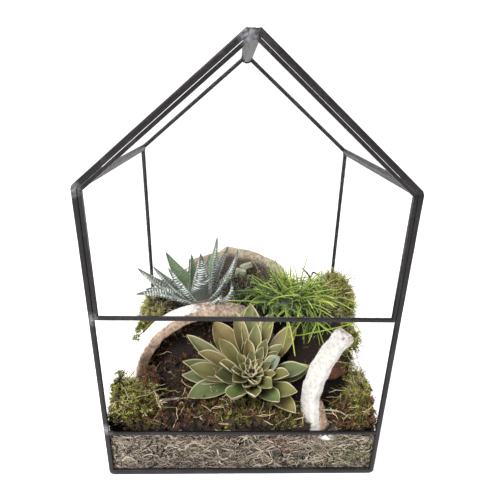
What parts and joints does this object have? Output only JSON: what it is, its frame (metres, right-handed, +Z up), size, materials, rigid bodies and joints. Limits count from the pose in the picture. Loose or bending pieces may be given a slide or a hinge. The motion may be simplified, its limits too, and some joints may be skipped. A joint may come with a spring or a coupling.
{
  "type": "glass plant terrarium",
  "caption": "House-shaped glass terrarium with dark leaded seams and an open front window, planted with succulents, moss and broken flowerpot pieces.",
  "frame": {"origin": "under the middle of the case, on the surface it stands on", "axes": "+Z up, the open window faces -Y, +X to the right of someone who faces the window"},
  "size_m": [0.2, 0.178, 0.2998],
  "materials": {
    "lead": "satin black-patina solder over foil",
    "glass": "clear, glossy, thin",
    "pot_clay": "rough fired clay, whitewashed outside, tan and worn at the rim",
    "red_clay": "rough terracotta",
    "stone": "smooth pale pebble",
    "twig": "dry bark and grass stem",
    "dry_moss": "matted dry moss and litter",
    "soil": "crumbly dark soil with roots",
    "zebra_leaf": "waxy grey-green with raised white bands",
    "rosette_leaf": "waxy olive with cream margins",
    "needle_leaf": "smooth lime green",
    "moss": "shaggy living and dry moss"
  },
  "bodies": {
    "root": {"front_bottom": "lead", "back_bottom": "lead", "front_right_post": "lead", "back_right_post": "lead", "front_right_rafter": "lead", "back_right_rafter": "lead", "front_left_rafter": "lead", "back_left_rafter": "lead", "front_left_post": "lead", "back_left_post": "lead", "right_foil": "lead", "right_roof_foil": "lead", "left_roof_foil": "lead", "left_foil": "lead", "window_top_bar": "lead", "tray_top_bar": "lead", "left_bottom_seam": "lead", "right_bottom_seam": "lead", "right_eave_seam": "lead", "ridge_seam": "lead", "left_eave_seam": "lead", "floor_pane": "glass", "tray_pane": "glass", "upper_front_pane": "glass", "back_pane": "glass", "left_pane": "glass", "right_pane": "glass", "left_roof_pane": "glass", "right_roof_pane": "glass", "cave_piece": "pot_clay", "side_piece": "pot_clay", "pot_back": "pot_clay", "clay_sherd": "red_clay", "pot_chip": "pot_clay", "stone_upper": "stone", "stone_lower": "stone", "grey_twig": "twig", "cream_sprig": "twig", "light_twig": "twig", "grass_stem": "twig", "brown_stem": "twig", "dark_twig": "twig", "tray_fill": "dry_moss", "soil_mound": "soil", "zebra_plant": "zebra_leaf", "rosette": "rosette_leaf", "needle_plant": "needle_leaf", "moss_front": "moss", "moss_left": "moss", "moss_right": "moss", "moss_back_right": "moss", "moss_back_left": "moss"}
  },
  "joints": []
}
